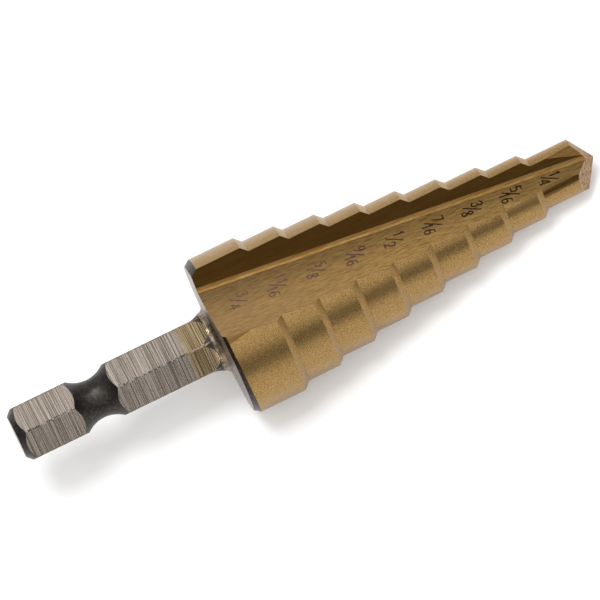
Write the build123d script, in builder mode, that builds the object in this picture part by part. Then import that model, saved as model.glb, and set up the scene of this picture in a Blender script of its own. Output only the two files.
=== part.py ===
from build123d import *
import os
from math import asin, cos, degrees, hypot, radians, sin, sqrt, tan

# A straight-flute step drill on a quarter-inch hexagon shank, made from one bar.
# It is modelled about its own axis first: +X runs from the shoulder behind the largest step to
# the point, and the first flute's rake face rises along +Z. It is then laid down as it rests.

# ---- Driving dimensions (mm, degrees) ----
INCH = 25.4
smallest_hole = INCH / 4  # cutting diameter of the first step
hole_rise = INCH / 16  # what each step adds to the diameter
step_count = 9
first_step_length = 5.8  # corner of the point to the corner of the second step
step_pitch = 4.65  # corner to corner, all the steps between
last_step_length = 5.4  # corner of the largest step to its rear chamfer
shoulder_half_angle = 45.0  # each shoulder against the axis
rim_chamfer = (0.85, 0.6)  # behind the largest step, along and across the axis
back_slope = 3.0  # the back is a shallow cone, leaning this much from square to the axis
land_relief = 0.2  # each land is turned this far off the axis, so it falls away behind its edge

point_angle = 114.0
chisel_depth = 0.07  # the heel facets cut the sharp point down by this much
heel_facet_slope = 43.8  # from a plane square to the axis
heel_facet_turn = 67.0  # it falls away towards this turn from the rake face

flute_angle = 126.5  # between the rake face and the floor, at the root
floor_radius = 20.0  # the floor is slightly hollow
lip_lead = 1.33  # the rake face stands this far ahead of the centre line
root_at_shoulder = 6.98  # flute root, measured up the rake face from beside the axis
root_at_point = 0.78
root_radius = 0.7

gash_start = (4.9, 2.79)  # behind the apex, and up the rake face
gash_end = (1.17, 1.33)
gash_tilt = 12.7  # the gash leans back from the rake face

shank_length = 24.9
across_flats = 6.25
bar_diameter = 7.1  # round stock, left bare along the corners of the hexagon
end_chamfer = 1.05
neck_radius = 0.8  # fillet between the bar and the back
collar = 0.15  # bare neck left between the flats and the back
hexagon_turn = -5.5  # a corner of the hexagon against the rake face
wheel_radius = 3.0  # corner of the grinding wheel, where a flat runs out
groove_position = 9.8  # centre of the groove from the end of the shank
groove_diameter = 4.66
groove_arc = 3.5
clearance = 0.1  # cutters overshoot their faces by this

# ---- Sizes that follow ----
largest_hole = smallest_hole + (step_count - 1) * hole_rise
shoulder_run = hole_rise / 2 / tan(radians(shoulder_half_angle))
rim = largest_hole / 2 - rim_chamfer[1]
back_rise = (rim - bar_diameter / 2) * tan(radians(back_slope))
largest_corner = back_rise + rim_chamfer[0] + last_step_length
point_corner = largest_corner + (step_count - 2) * step_pitch + first_step_length
apex = point_corner + smallest_hole / 2 / tan(radians(point_angle / 2))
bar_radius = bar_diameter / 2
reach = 2 * largest_hole  # longer than any cut needs
floor_sweep = 35.0  # degrees of the floor's arc, more than the widest floor needs
seam_turn = -45.0  # the two lands' turnings meet over the flutes, where nothing is left of them


def round_axis(turn):
    """Unit vector square to the axis, `turn` degrees round from the first rake face."""
    return Vector(0, sin(radians(turn)), cos(radians(turn)))


def hole_radius(step):
    return (smallest_hole + (step - 1) * hole_rise) / 2


def corner_position(step):
    if step == 1:
        return point_corner
    return largest_corner + (step_count - step) * step_pitch


def lip_turn(step):
    """Where a step's cutting corner lies round the axis: the rake face leads the centre line."""
    return -degrees(asin(lip_lead / hole_radius(step)))


def turned_radius(step):
    """Radius about the land's own centre that gives the nominal hole at the cutting corner."""
    radius = hole_radius(step)
    off = radians(lip_turn(step) - seam_turn)
    return sqrt(radius**2 - 2 * radius * land_relief * cos(off) + land_relief**2)


def root_height(position):
    return root_at_shoulder + (root_at_point - root_at_shoulder) * position / apex


def cutting_corner(step):
    return Vector(corner_position(step), 0, 0) + round_axis(lip_turn(step)) * hole_radius(step)


def heel_corner(step):
    """Where the flute's floor leaves the step: a point both on the floor's arc and on the land."""
    root = Vector(0, -lip_lead, root_height(corner_position(step)))
    floor_centre = root + round_axis(90 - flute_angle) * floor_radius
    land_centre = round_axis(seam_turn) * -land_relief
    apart = floor_centre - land_centre
    gap = apart.length
    along = (turned_radius(step) ** 2 - floor_radius**2 + gap**2) / (2 * gap)
    across = sqrt(turned_radius(step) ** 2 - along**2)
    outward = Vector(1, 0, 0).cross(apart.normalized())
    meeting = land_centre + apart.normalized() * along + outward * across
    return Vector(corner_position(step), 0, 0) + meeting


with BuildPart() as blank:
    # Two lands, each turned about a centre a little off the drill's axis.
    for side in (1, -1):
        centre = round_axis(seam_turn) * (land_relief * side)
        out = round_axis(seam_turn) * side
        land_plane = Plane(origin=centre, x_dir=(1, 0, 0), z_dir=Vector(1, 0, 0).cross(out))
        with BuildSketch(land_plane):
            with BuildLine():
                points = [(-back_rise, 0), (-back_rise, turned_radius(step_count))]
                for step in range(step_count, 1, -1):
                    corner = corner_position(step)
                    points.append((corner, turned_radius(step)))
                    points.append((corner + shoulder_run, turned_radius(step - 1)))
                points.append((apex + clearance, turned_radius(1)))
                points.append((apex + clearance, 0))
                Polyline(*points, close=True)
            make_face()
        revolve(axis=Axis(centre, (-1, 0, 0)), revolution_arc=180)

    # The point: a cone about the true axis, then a facet behind each cutting lip.
    with BuildSketch(Plane.XZ):
        cone_back = apex - largest_hole / tan(radians(point_angle / 2))
        with BuildLine():
            Polyline((apex, 0), (cone_back, largest_hole), (reach + apex, largest_hole),
                     (reach + apex, 0), close=True)
        make_face()
    revolve(axis=Axis.X, mode=Mode.SUBTRACT)
    for turn in (0, 180):
        fall = round_axis(heel_facet_turn + turn) * tan(radians(heel_facet_slope))
        with BuildSketch(Plane(origin=(apex - chisel_depth, 0, 0), z_dir=Vector(1, 0, 0) + fall)):
            Rectangle(reach, reach)
        extrude(amount=reach, mode=Mode.SUBTRACT)

    # The back: a shallow cone with a chamfered rim, turned about the true axis.
    with BuildSketch(Plane.XZ):
        with BuildLine():
            Polyline((back_rise + 2 * rim_chamfer[0], rim + 2 * rim_chamfer[1]), (back_rise, rim),
                     (back_rise - rim * tan(radians(back_slope)), 0), (-reach, 0),
                     (-reach, rim + 2 * rim_chamfer[1]), close=True)
        make_face()
    revolve(axis=Axis.X, mode=Mode.SUBTRACT)

    # Two flutes: an L of rake face and floor with a rounded root. They close in towards the point.
    for turn in (0, 180):
        start = -clearance
        section = Plane(origin=(start, 0, 0), x_dir=round_axis(turn + 90), z_dir=(1, 0, 0))
        root = (-lip_lead, root_height(start))
        heading = round_axis(-flute_angle)
        with BuildSketch(section) as flute:
            with BuildLine():
                floor = JernArc(root, (heading.Y, heading.Z), floor_radius, -floor_sweep)
                Polyline(root, (root[0], root[1] + reach), ((floor @ 1).X, root[1] + reach), floor @ 1)
            make_face()
            fillet(flute.vertices().sort_by_distance(root)[0], root_radius)
        sink = round_axis(turn) * (root_at_point - root_at_shoulder)
        extrude(amount=hypot(apex, sink.length) + reach / 2, dir=Vector(apex, 0, 0) + sink,
                mode=Mode.SUBTRACT)

    # A gash at the tip of each rake face brings the cutting lip in towards the centre.
    for turn in (0, 180):
        up = round_axis(turn)
        beside = round_axis(turn - 90) * lip_lead
        gash_rear = Vector(apex - gash_start[0], 0, 0) + beside + up * gash_start[1]
        gash_front = Vector(apex - gash_end[0], 0, 0) + beside + up * gash_end[1]
        run = (gash_front - gash_rear).normalized()
        outward = run.cross(round_axis(turn + 90))
        rear = gash_rear - run
        with BuildSketch(Plane(origin=rear, x_dir=outward, z_dir=run)):
            with BuildLine():
                Polyline((0, 0), (smallest_hole, -smallest_hole * tan(radians(gash_tilt))),
                         (smallest_hole, smallest_hole * tan(radians(gash_tilt))), close=True)
            make_face()
        extrude(amount=smallest_hole, mode=Mode.SUBTRACT)

    # The shank: round bar with a chamfered end. It is turned from a corner of the hexagon.
    bar_plane = Plane(origin=(0, 0, 0), x_dir=(1, 0, 0),
                      z_dir=Vector(1, 0, 0).cross(round_axis(hexagon_turn)))
    with BuildSketch(bar_plane):
        with BuildLine():
            Polyline((back_rise, 0), (-shank_length, 0), (-shank_length, bar_radius - end_chamfer),
                     (end_chamfer - shank_length, bar_radius), (back_rise, bar_radius), close=True)
        make_face()
    revolve(axis=Axis.X)
    neck = blank.edges().filter_by(GeomType.CIRCLE).sort_by_distance((0, 0, bar_radius))[0]
    fillet(neck, neck_radius)

    # The detent groove that a quick-change chuck's ball drops into.
    with BuildSketch(bar_plane):
        with Locations((groove_position - shank_length, groove_diameter / 2 + groove_arc)):
            Circle(groove_arc)
    revolve(axis=Axis.X, mode=Mode.SUBTRACT)

    # Six ground flats, each running out in the wheel's own radius up the neck.
    flat = across_flats / 2
    neck_height = bar_radius + neck_radius - sqrt(neck_radius**2 - (neck_radius - collar) ** 2)
    rise = neck_height - flat + clearance
    run_out = sqrt(wheel_radius**2 - (wheel_radius - rise) ** 2)
    for side in range(6):
        out = round_axis(hexagon_turn + 30 + 60 * side)
        with BuildSketch(Plane(origin=(0, 0, 0), x_dir=(1, 0, 0), z_dir=Vector(1, 0, 0).cross(out))):
            with BuildLine():
                Polyline((-collar, flat + rise), (-collar, bar_diameter), (-reach, bar_diameter),
                         (-reach, flat), (-collar - run_out, flat))
                RadiusArc((-collar - run_out, flat), (-collar, flat + rise), -wheel_radius)
            make_face()
        extrude(amount=bar_diameter, both=True, mode=Mode.SUBTRACT)

# ---- At rest ----
# The drill lies over its second flute, on both corners of the largest step and the cutting
# corner of the point. The second flute is the first one turned half round the axis.
left = cutting_corner(step_count).rotate(Axis.X, 180)
right = heel_corner(step_count).rotate(Axis.X, 180)
front = cutting_corner(1).rotate(Axis.X, 180)
upright = (front - left).cross(right - left).normalized()
ahead = Vector(1, 0, 0) - upright * upright.X
ground = Plane(origin=front, x_dir=ahead, z_dir=upright)
lying = ground.to_local_coords(blank.part)
box = lying.bounding_box()

with BuildPart() as step_drill:
    add(Pos(-box.center().X, -box.center().Y, -box.min.Z) * lying)

step_drill.part.label = "step_drill"
os.makedirs("parts", exist_ok=True)
export_step(step_drill.part, "parts/step_drill.step")
print("The axis dips to the point by", round(degrees(asin(-upright.X)), 2), "degrees")
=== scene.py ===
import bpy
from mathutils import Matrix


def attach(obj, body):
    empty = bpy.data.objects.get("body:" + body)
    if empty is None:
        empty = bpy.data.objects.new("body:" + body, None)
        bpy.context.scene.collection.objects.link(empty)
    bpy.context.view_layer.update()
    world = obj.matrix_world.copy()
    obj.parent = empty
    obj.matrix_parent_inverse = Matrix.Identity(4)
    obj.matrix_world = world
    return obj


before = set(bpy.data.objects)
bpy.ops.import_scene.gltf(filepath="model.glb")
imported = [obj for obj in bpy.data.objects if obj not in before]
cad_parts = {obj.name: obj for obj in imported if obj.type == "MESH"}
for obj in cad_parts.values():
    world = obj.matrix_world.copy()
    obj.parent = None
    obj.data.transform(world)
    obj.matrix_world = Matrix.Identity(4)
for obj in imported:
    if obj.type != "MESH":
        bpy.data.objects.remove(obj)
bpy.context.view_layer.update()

from fractions import Fraction
from math import cos, radians, sin

import bpy
from mathutils import Matrix, Vector

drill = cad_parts["step_drill"]

# ---- The drill's own axes in the row frame ----
# X runs along it from the shoulder to the point, and the first flute's rake face rises along Z.
MM = 0.001
DIP = radians(7.22)  # the axis dips to the point
TURN = radians(42.107)  # the rake face leans this much from upright, about the axis
SHOULDER = Vector((-10.749, 0, 8.647)) * MM  # on the axis, where X is 0

# Sizes from the part's source, in mm
APEX = 46.944
STEPS = 9
LARGEST_RADIUS = 9.525
HOLE_RISE = 25.4 / 16
LARGEST_CORNER = 6.532
PITCH = 4.65
POINT_CORNER = 44.882
LIP_LEAD = 1.33
ROOT_AT_SHOULDER = 6.98
ROOT_AT_POINT = 0.78
FLUTE_ANGLE = radians(126.5)
BAR_RADIUS = 3.55
HEXAGON_TURN = radians(-5.5)
NECK_RADIUS = 0.8

along = Vector((cos(DIP), 0, -sin(DIP)))
up = Vector((sin(DIP), 0, cos(DIP)))
side = Vector((0, 1, 0))
axes = Matrix((along, side * cos(TURN) - up * sin(TURN), side * sin(TURN) + up * cos(TURN)))
axes.transpose()  # columns are the drill's X, Y and Z


# ---- Node trees ----
class Tree:
    """The node tree of a material or a world, with short ways to add the nodes used here."""

    def __init__(self, owner):
        owner.use_nodes = True
        self.tree = owner.node_tree

    def set(self, socket, value):
        if isinstance(value, bpy.types.NodeSocket):
            self.tree.links.new(value, socket)
        else:
            socket.default_value = value

    def fill(self, node, **inputs):
        for name, value in inputs.items():
            self.set(node.inputs[name.replace("_", " ")], value)
        return node

    def add(self, kind, **inputs):
        return self.fill(self.tree.nodes.new(kind), **inputs)

    def math(self, operation, a, b):
        node = self.add("ShaderNodeMath")
        node.operation = operation
        for socket, value in zip(node.inputs, (a, b)):
            self.set(socket, value)
        return node.outputs[0]

    def ramp(self, value, low, high, out_low=0.0, out_high=1.0):
        """Smooth change from out_low, where the value is low, to out_high, where it is high."""
        node = self.add("ShaderNodeMapRange", Value=value, From_Min=low, From_Max=high,
                        To_Min=out_low, To_Max=out_high)
        node.interpolation_type = "SMOOTHSTEP"
        return node.outputs[0]


class Finish(Tree):
    """A material whose patterns are in millimetres along the drill's own axes."""

    def __init__(self, name):
        self.material = bpy.data.materials.new(name)
        super().__init__(self.material)
        self.shader = self.tree.nodes["Principled BSDF"]
        place = self.add("ShaderNodeMapping", Location=SHOULDER, Rotation=axes.to_euler(),
                         Scale=(MM, MM, MM))
        place.vector_type = "TEXTURE"
        self.set(place.inputs["Vector"], self.add("ShaderNodeTexCoord").outputs["Object"])
        self.point = place.outputs[0]
        self.x = self.add("ShaderNodeSeparateXYZ", Vector=self.point).outputs["X"]

    def noise(self, squeeze, scale, detail, roughness=0.6):
        """Noise of about `scale` features a mm. A squeeze under 1 draws them out on its axis."""
        node = self.add("ShaderNodeVectorMath", Vector=self.point)
        node.operation = "MULTIPLY"
        node.inputs[1].default_value = squeeze
        return self.add("ShaderNodeTexNoise", Vector=node.outputs[0], Scale=scale, Detail=detail,
                        Roughness=roughness).outputs["Fac"]

    def mix(self, factor, a, b):
        node = self.add("ShaderNodeMix")
        node.data_type = "RGBA"
        colours = [socket for socket in node.inputs if socket.type == "RGBA"]
        self.set(node.inputs[0], factor)
        for socket, value in zip(colours, (a, b)):
            self.set(socket, value if isinstance(value, bpy.types.NodeSocket) else (*value, 1))
        return next(socket for socket in node.outputs if socket.type == "RGBA")

    def bump(self, height, relief):
        """Relief of about this many mm."""
        node = self.add("ShaderNodeBump", Height=height, Distance=relief * MM)
        self.set(self.shader.inputs["Normal"], node.outputs[0])

    def finish(self, colour, roughness, metallic=1.0):
        self.fill(self.shader, Base_Color=colour, Roughness=roughness, Metallic=metallic)
        return self.material


# ---- Finishes ----
GOLD = (0.49, 0.305, 0.11)
LAND = (0.47, 0.30, 0.115)
LAND_DARK = (0.16, 0.09, 0.028)
# Painted shade: ROOT darkens the flute's rounded root, a crease, below the floor's coating, to dim
# the light it reflects.
ROOT = (0.21, 0.133, 0.05)
GOLD_DARK = (0.22, 0.115, 0.028)
GOLD_BROWN = (0.16, 0.075, 0.016)
GOLD_PINK = (0.35, 0.22, 0.125)
GOLD_PALE = (0.85, 0.68, 0.38)
STEEL = (0.86, 0.75, 0.64)
STEEL_DARK = (0.25, 0.20, 0.165)
BACK = (0.33, 0.285, 0.27)
BACK_DARK = (0.22, 0.185, 0.17)
OXIDE = (0.028, 0.024, 0.021)
OXIDE_PALE = (0.065, 0.058, 0.052)
NECK = (0.30, 0.235, 0.17)
NECK_DARK = (0.10, 0.075, 0.055)
CORNER_GREY = (0.27, 0.235, 0.205)
MARK = (0.014, 0.005, 0.002)
MARK_FAINT = (0.14, 0.075, 0.06)

EVEN = (1, 1, 1)
LENGTHWAYS = (0.03, 1, 1)  # streaks along the drill
CROSSWAYS = (1, 0.004, 0.004)  # grinding lines across the flats
SPRAY_FADE = (-3.3, -2.5)  # the coating ends between these, moved by up to SPRAY_DRIFT
SPRAY_DRIFT = 2  # mm
PINK_FADE = (25, 0)  # the flute turns pinker from here to the shoulder
MARK_FADE = (34, 4)  # the size marks fade from here to here


def mixed(name, dark, pale, between, roughness, squeeze=EVEN, scale=7, detail=4, harshness=0.6,
          relief=None, metallic=1.0):
    """Two colours mixed by noise, from all dark to all pale `between` two values of it."""
    n = Finish(name)
    grain = n.noise(squeeze, scale, detail, harshness)
    if relief:
        n.bump(grain, relief)
    return n.finish(n.mix(n.ramp(grain, *between), dark, pale), roughness, metallic)


def flute_gold():
    n = Finish("flute_gold")
    streaks = n.noise(LENGTHWAYS, scale=7, detail=4, roughness=0.7)
    grain = n.noise(EVEN, scale=6, detail=3)
    colour = n.mix(n.ramp(streaks, 0.25, 0.7), GOLD_DARK, GOLD)
    colour = n.mix(n.ramp(n.x, *PINK_FADE, out_high=0.3), colour, GOLD_PINK)
    n.bump(n.math("ADD", streaks, n.math("MULTIPLY", grain, 0.5)), relief=0.007)
    return n.finish(colour, roughness=0.27)


def oversprayed(n, colour, coating, cover):
    """The cone's coating fades out over the front of the shank."""
    drift = n.noise(EVEN, scale=1.5, detail=4)
    edge = n.math("ADD", n.x, n.math("MULTIPLY", drift, SPRAY_DRIFT))
    return n.mix(n.math("MULTIPLY", n.ramp(edge, *SPRAY_FADE), cover), colour, coating)


def ground_steel():
    n = Finish("ground_steel")
    lines = n.noise(CROSSWAYS, scale=12, detail=1, roughness=0.5)
    patches = n.noise(EVEN, scale=1.5, detail=4)
    light = n.ramp(lines, 0.4, 0.6)
    colour = n.mix(light, STEEL_DARK, STEEL)
    colour = n.mix(n.ramp(patches, 0.5, 0.7, out_high=0.2), colour, STEEL_DARK)
    n.bump(lines, relief=0.01)
    coating = n.mix(light, GOLD_DARK, GOLD_PALE)
    return n.finish(oversprayed(n, colour, coating, cover=0.8), roughness=0.27)


def corner_bar():
    """The bar's own surface, left along the hexagon's corners: dark, and scraped in places."""
    n = Finish("corner_bar")
    nicks = n.noise(EVEN, scale=3.5, detail=3, roughness=0.7)
    colour = n.mix(n.ramp(nicks, 0.47, 0.57), OXIDE, CORNER_GREY)
    return n.finish(oversprayed(n, colour, GOLD, cover=0.2), roughness=0.5, metallic=0.5)


def marking():
    """The size marks, burnt dark near the point and fading towards the shank."""
    n = Finish("marking")
    wear = n.noise(EVEN, scale=5, detail=2)
    fade = n.math("ADD", n.ramp(n.x, *MARK_FADE), n.ramp(wear, 0.5, 0.75, out_high=0.4))
    n.fill(n.shader, Specular_IOR_Level=0.05)
    return n.finish(n.mix(fade, MARK, MARK_FAINT), roughness=0.6, metallic=0.0)


finishes = [
    mixed("land_gold", LAND_DARK, LAND, (0.3, 0.7), 0.34, scale=11, detail=3, relief=0.008),
    flute_gold(),
    # Painted shade on the rounded root: a darker copy of the same coating.
    mixed("root_gold_painted_shade", GOLD_BROWN, ROOT, (0.38, 0.62), 0.3, LENGTHWAYS, harshness=0.7,
          relief=0.006),
    # Painted shade on the rake wall: a dark brown copy of the same coating, standing in for the
    # shade and dark reflections on it.
    mixed("rake_gold_painted_shade", GOLD_BROWN, GOLD_DARK, (0.35, 0.65), 0.25, LENGTHWAYS, harshness=0.7,
          relief=0.006),
    mixed("point_gold", GOLD_BROWN, GOLD_PINK, (0.38, 0.6), 0.35, scale=3, detail=3,
          harshness=0.7, relief=0.03),
    ground_steel(),
    mixed("bare_bar", OXIDE, OXIDE_PALE, (0.45, 0.7), 0.4, scale=3, harshness=0.7, relief=0.006,
          metallic=0.8),
    mixed("neck_steel", NECK_DARK, NECK, (0.35, 0.65), 0.38, scale=2),
    corner_bar(),
    mixed("back_steel", BACK_DARK, BACK, (0.35, 0.65), 0.36, scale=2, relief=0.008),
    mixed("rim_dark", OXIDE, GOLD_DARK, (0.5, 0.8), 0.4, scale=4),
]

# ---- Which finish each face has ----
# Places are mm along the drill's own axes. The rest compare parts of a face's unit normal.
FLAT_TURNS = [HEXAGON_TURN + radians(30 + 60 * i) for i in range(6)]
SHANK_FRONT = 0.1
SHANK_FACES_BACK = 0.97  # what faces back more than this is the end or the back of the cone
FLAT_TOLERANCE = 0.01  # round the axis
FLAT_SLOPE = 0.001  # along it
RUN_OUT = (-2.4, -NECK_RADIUS / 2)  # the flats curve up between these places
RUN_OUT_TOLERANCE = 0.15  # wide, because its triangles span a curved edge
RUN_OUT_SLOPE = 0.01
CORNERS_FRONT = -1.4
CORNER_DEPTH = 0.05  # under the bar's radius
BACK_FACES_BACK = 0.9
RIM_FACES_BACK = 0.3
POINT_BACK = POINT_CORNER - 0.5
POINT_FACES_AHEAD = 0.3
SHOULDER_FACES_AHEAD = 0.5
LAND_DEPTH = 0.3  # under the largest radius there
LAND_FACES_OUT = 0.97
RAKE_SQUARE = 0.999
ROOT_LEAN = 0.62  # sideways part: smaller on the floor, larger on the rounded root


def shank_finish(centre, normal, radius):
    off_flat = min(abs(cos(turn) * normal.y - sin(turn) * normal.z) for turn in FLAT_TURNS)
    on_flat = off_flat < FLAT_TOLERANCE and abs(normal.x) < FLAT_SLOPE
    rising = RUN_OUT[0] < centre.x < RUN_OUT[1] and normal.x < -RUN_OUT_SLOPE
    if on_flat or rising and off_flat < RUN_OUT_TOLERANCE:
        return "ground_steel"
    if centre.x > -NECK_RADIUS:
        return "neck_steel"
    if radius > BAR_RADIUS - CORNER_DEPTH and centre.x < CORNERS_FRONT:
        return "corner_bar"
    return "bare_bar"


def finish_of(centre, normal):
    """The finish of a face of the drill, from its centre and normal along its own axes."""
    outward = Vector((0, centre.y, centre.z))
    radius = outward.length
    in_shank = centre.x < SHANK_FRONT and radius < BAR_RADIUS + NECK_RADIUS
    if in_shank and normal.x > -SHANK_FACES_BACK:
        return shank_finish(centre, normal, radius)
    if normal.x < -BACK_FACES_BACK:
        return "back_steel"
    if normal.x < -RIM_FACES_BACK:
        return "rim_dark"
    if centre.x > POINT_BACK and normal.x > POINT_FACES_AHEAD:
        return "point_gold"
    step = min(max((centre.x - LARGEST_CORNER) / PITCH + 1, 0), STEPS - 1)
    on_land = radius > LARGEST_RADIUS - step * HOLE_RISE / 2 - LAND_DEPTH
    if on_land and outward.dot(normal) > LAND_FACES_OUT * radius or normal.x > SHOULDER_FACES_AHEAD:
        return "land_gold"
    # The rake wall's dark finish is painted shade.
    if abs(normal.y) > RAKE_SQUARE:
        return "rake_gold_painted_shade"
    # The rounded root's darker finish is painted shade.
    return "root_gold_painted_shade" if abs(normal.y) > ROOT_LEAN else "flute_gold"


drill.data.materials.clear()
for finish in finishes:
    drill.data.materials.append(finish)
names = [finish.name for finish in finishes]
to_drill = axes.transposed()
for face in drill.data.polygons:
    centre = to_drill @ (face.center - SHOULDER) / MM
    face.material_index = names.index(finish_of(centre, to_drill @ face.normal))

# ---- Size marks on the first flute's floor ----
# Each is a fraction of an inch, read from the root outwards with its top towards the point.
# Pairs are mm along the drill and mm out from the flute's root.
FIRST_MARK = (41.28, 1.07)  # the smallest size's middle, from the shoulder
MARK_PITCH = (-4.68, 0.24)
SMALLEST_SIZE = 4  # sixteenths of an inch
DIGIT_HEIGHT = 1.2
DIGIT_WIDTH = 0.52
DIGIT_SPACING = 0.72
NUMBER_OFFSET = (0.72, -0.32)  # a numerator's middle from its fraction's, at the first mark
OFFSET_GROWTH = (0, -0.05)  # from each mark to the next
SLASH_REACH = (0.85, 0.42)
STROKE = 0.16
STROKE_OVERLAP = STROKE / 3  # past each end, so that strokes join
STROKE_PART = 0.4  # a stroke bends with the floor in parts of about this length
PROUD = 0.012

STROKES = {  # across and up a unit box
    "1": [[(0.2, 0.75), (0.5, 1), (0.5, 0)]],
    "2": [[(0, 0.8), (0.25, 1), (0.75, 1), (1, 0.8), (1, 0.6), (0, 0), (1, 0)]],
    "3": [[(0, 0.85), (0.3, 1), (0.8, 1), (1, 0.8), (0.8, 0.55), (0.4, 0.55)],
          [(0.8, 0.55), (1, 0.3), (0.8, 0), (0.3, 0), (0, 0.15)]],
    "4": [[(0.7, 0), (0.7, 1), (-0.15, 0.35), (1.15, 0.35)]],
    "5": [[(0.95, 1), (0.1, 1), (0.05, 0.6), (0.7, 0.6), (1, 0.35), (0.8, 0.02), (0, 0.05)]],
    "6": [[(0.9, 0.95), (0.4, 0.95), (0, 0.5), (0, 0.2), (0.3, 0), (0.75, 0), (1, 0.25),
           (0.75, 0.52), (0.2, 0.5), (0, 0.3)]],
    "7": [[(0, 1), (1, 1), (0.4, 0)]],
    "8": [[(0.5, 0.55), (0.1, 0.75), (0.25, 1), (0.75, 1), (0.9, 0.75), (0.5, 0.55), (0, 0.25),
           (0.25, 0), (0.75, 0), (1, 0.25), (0.5, 0.55)]],
    "9": [[(1, 0.7), (0.75, 0.48), (0.25, 0.48), (0, 0.75), (0.25, 1), (0.7, 1), (1, 0.75),
           (1, 0.45), (0.6, 0.03), (0.15, 0.03)]],
}


def on_floor(position, width):
    """A point just over the flute's floor, `position` along the drill, `width` from its root."""
    rise = ROOT_AT_SHOULDER + (ROOT_AT_POINT - ROOT_AT_SHOULDER) * position / APEX
    level = Vector((0, -sin(FLUTE_ANGLE), cos(FLUTE_ANGLE)))
    out = Vector((0, cos(FLUTE_ANGLE), sin(FLUTE_ANGLE)))
    start = Vector((position, -LIP_LEAD, rise)) + level * width + out
    found, spot, normal, _ = drill.ray_cast(SHOULDER + axes @ start * MM, axes @ -out)
    assert found, "a size mark has run off the drill"
    return spot + normal * PROUD * MM


def ribbon(start, end):
    """A strip of the floor between two points, each a position along the drill and a width."""
    run = Vector(end) - Vector(start)
    edge = Vector((-run.y, run.x)).normalized() * STROKE / 2
    overlap = run.normalized() * STROKE_OVERLAP
    parts = max(1, round(run.length / STROKE_PART))
    rows = [Vector(start) - overlap + (run + 2 * overlap) * i / parts for i in range(parts + 1)]
    base = len(points)
    points.extend(on_floor(*spot) for row in rows for spot in (row + edge, row - edge))
    for i in range(base, base + 2 * parts, 2):
        faces.append((i, i + 1, i + 3, i + 2))


def number(text, middle):
    for i, digit in enumerate(text):
        centre = middle + Vector((0, (i - (len(text) - 1) / 2) * DIGIT_SPACING))
        for stroke in STROKES[digit]:
            path = [centre + Vector(((v - 0.5) * DIGIT_HEIGHT, (u - 0.5) * DIGIT_WIDTH))
                    for u, v in stroke]
            for start, end in zip(path, path[1:]):
                ribbon(start, end)


points, faces = [], []
for step in range(STEPS):
    size = Fraction(SMALLEST_SIZE + step, 16)
    middle = Vector(FIRST_MARK) + step * Vector(MARK_PITCH)
    offset = Vector(NUMBER_OFFSET) + step * Vector(OFFSET_GROWTH)
    ribbon(middle - Vector(SLASH_REACH), middle + Vector(SLASH_REACH))
    number(str(size.numerator), middle + offset)
    number(str(size.denominator), middle - offset)
mesh = bpy.data.meshes.new("size_marks")
mesh.from_pydata(points, [], faces)
mesh.materials.append(marking())
marks = bpy.data.objects.new("size_marks", mesh)
bpy.context.scene.collection.objects.link(marks)
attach(marks, "root")

# ---- Floor ----
WHITE = (1, 1, 1, 1)
FLOOR_SIZE = 6  # m
FLOOR_COLOUR = (0.86, 0.86, 0.86, 1)
FLOOR_ROUGHNESS = 0.9
FLOOR_LIFT = 0.2  # added where the floor is seen, so that it comes out white

bpy.ops.mesh.primitive_plane_add(size=FLOOR_SIZE)
floor = bpy.context.object
floor.name = "floor"
surface = bpy.data.materials.new("floor")
matt = Tree(surface)
rays = matt.add("ShaderNodeLightPath").outputs
seen = rays["Is Camera Ray"]
for ray in ("Is Glossy Ray", "Is Transmission Ray"):
    seen = matt.math("MAXIMUM", seen, rays[ray])
matt.fill(matt.tree.nodes["Principled BSDF"], Base_Color=FLOOR_COLOUR, Roughness=FLOOR_ROUGHNESS,
          Emission_Color=WHITE, Emission_Strength=matt.math("MULTIPLY", seen, FLOOR_LIFT))
floor.data.materials.append(surface)

# ---- Light: a dim room with a white far wall, a softbox and a smaller key ----
WALL_EDGE = (0.5, 0.9)  # the +Y part of a direction where the wall begins, and where it is whole
ROOM_STRENGTH = 0.18
WALL_STRENGTH = 0.95

world = bpy.data.worlds.new("studio")
bpy.context.scene.world = world
room = Tree(world)
direction = room.add("ShaderNodeTexCoord").outputs["Generated"]
far = room.add("ShaderNodeSeparateXYZ", Vector=direction).outputs["Y"]
room.fill(room.tree.nodes["Background"], Color=WHITE,
          Strength=room.ramp(far, *WALL_EDGE, ROOM_STRENGTH, WALL_STRENGTH))


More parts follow.
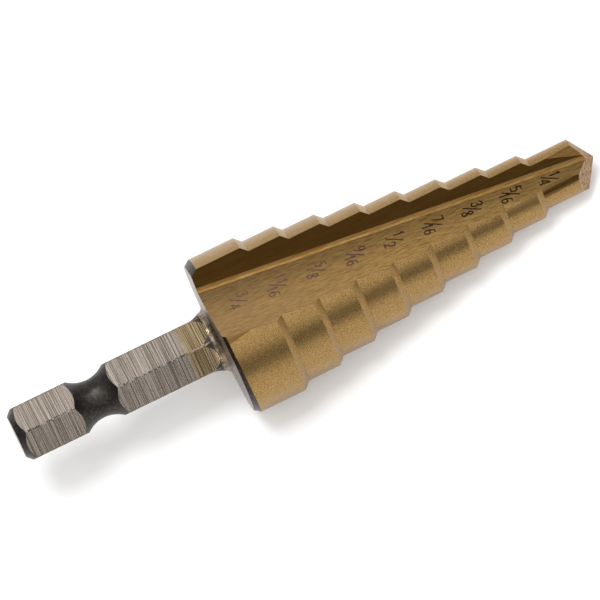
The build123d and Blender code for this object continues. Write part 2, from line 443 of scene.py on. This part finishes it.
def area_light(name, watts, place, width, depth):
    """A rectangle of light that faces straight down, in metres."""
    light = bpy.data.lights.new(name, "AREA")
    light.shape = "RECTANGLE"
    light.size, light.size_y = width, depth
    light.energy = watts
    lamp = bpy.data.objects.new(name, light)
    lamp.location = place
    bpy.context.scene.collection.objects.link(lamp)


area_light("softbox", watts=3.9, place=(0, -0.37, 0.5), width=1.0, depth=1.14)
area_light("key", watts=2.0, place=(0, 0.09, 0.6), width=0.25, depth=0.25)

# ---- Camera, from where the drill lies in the photograph's frame ----
PICTURE = 600  # px
APEX_PIXEL = (593.6, 156.2)
PIXELS_PER_MM = 8.937  # at the apex
DISTANCE = 2053.6  # mm, in front of the apex
AXIS_SLOPE = radians(25.947)  # the drill's axis climbs this much to the right of the picture
AXIS_TILT = radians(2.8)  # its point leans this much away from the camera
ROLL = radians(65.924)  # the camera looks this much round the drill from its rake face
SENSOR = 36  # mm
SIGHT = 20  # m

forward = axes @ Vector((1, 0, 0))
across = axes @ Vector((0, cos(ROLL), sin(ROLL)))
toward = axes @ Vector((0, -sin(ROLL), cos(ROLL)))
rightward = forward * cos(AXIS_TILT) + toward * sin(AXIS_TILT)
view_x = rightward * cos(AXIS_SLOPE) - across * sin(AXIS_SLOPE)
view_y = rightward * sin(AXIS_SLOPE) + across * cos(AXIS_SLOPE)
view_z = toward * cos(AXIS_TILT) - forward * sin(AXIS_TILT)
shift = Vector((PICTURE / 2 - APEX_PIXEL[0], APEX_PIXEL[1] - PICTURE / 2)) / PIXELS_PER_MM
place = SHOULDER + (forward * APEX + view_x * shift.x + view_y * shift.y + view_z * DISTANCE) * MM

lens = bpy.data.cameras.new("camera")
lens.sensor_width = SENSOR
lens.lens = PIXELS_PER_MM * DISTANCE * SENSOR / PICTURE
lens.clip_end = SIGHT
camera = bpy.data.objects.new("camera", lens)
camera.matrix_world = Matrix.LocRotScale(
    place, Matrix((view_x, view_y, view_z)).transposed().to_quaternion(), None)
bpy.context.scene.collection.objects.link(camera)
bpy.context.scene.camera = camera
bpy.context.scene.view_settings.view_transform = "Standard"
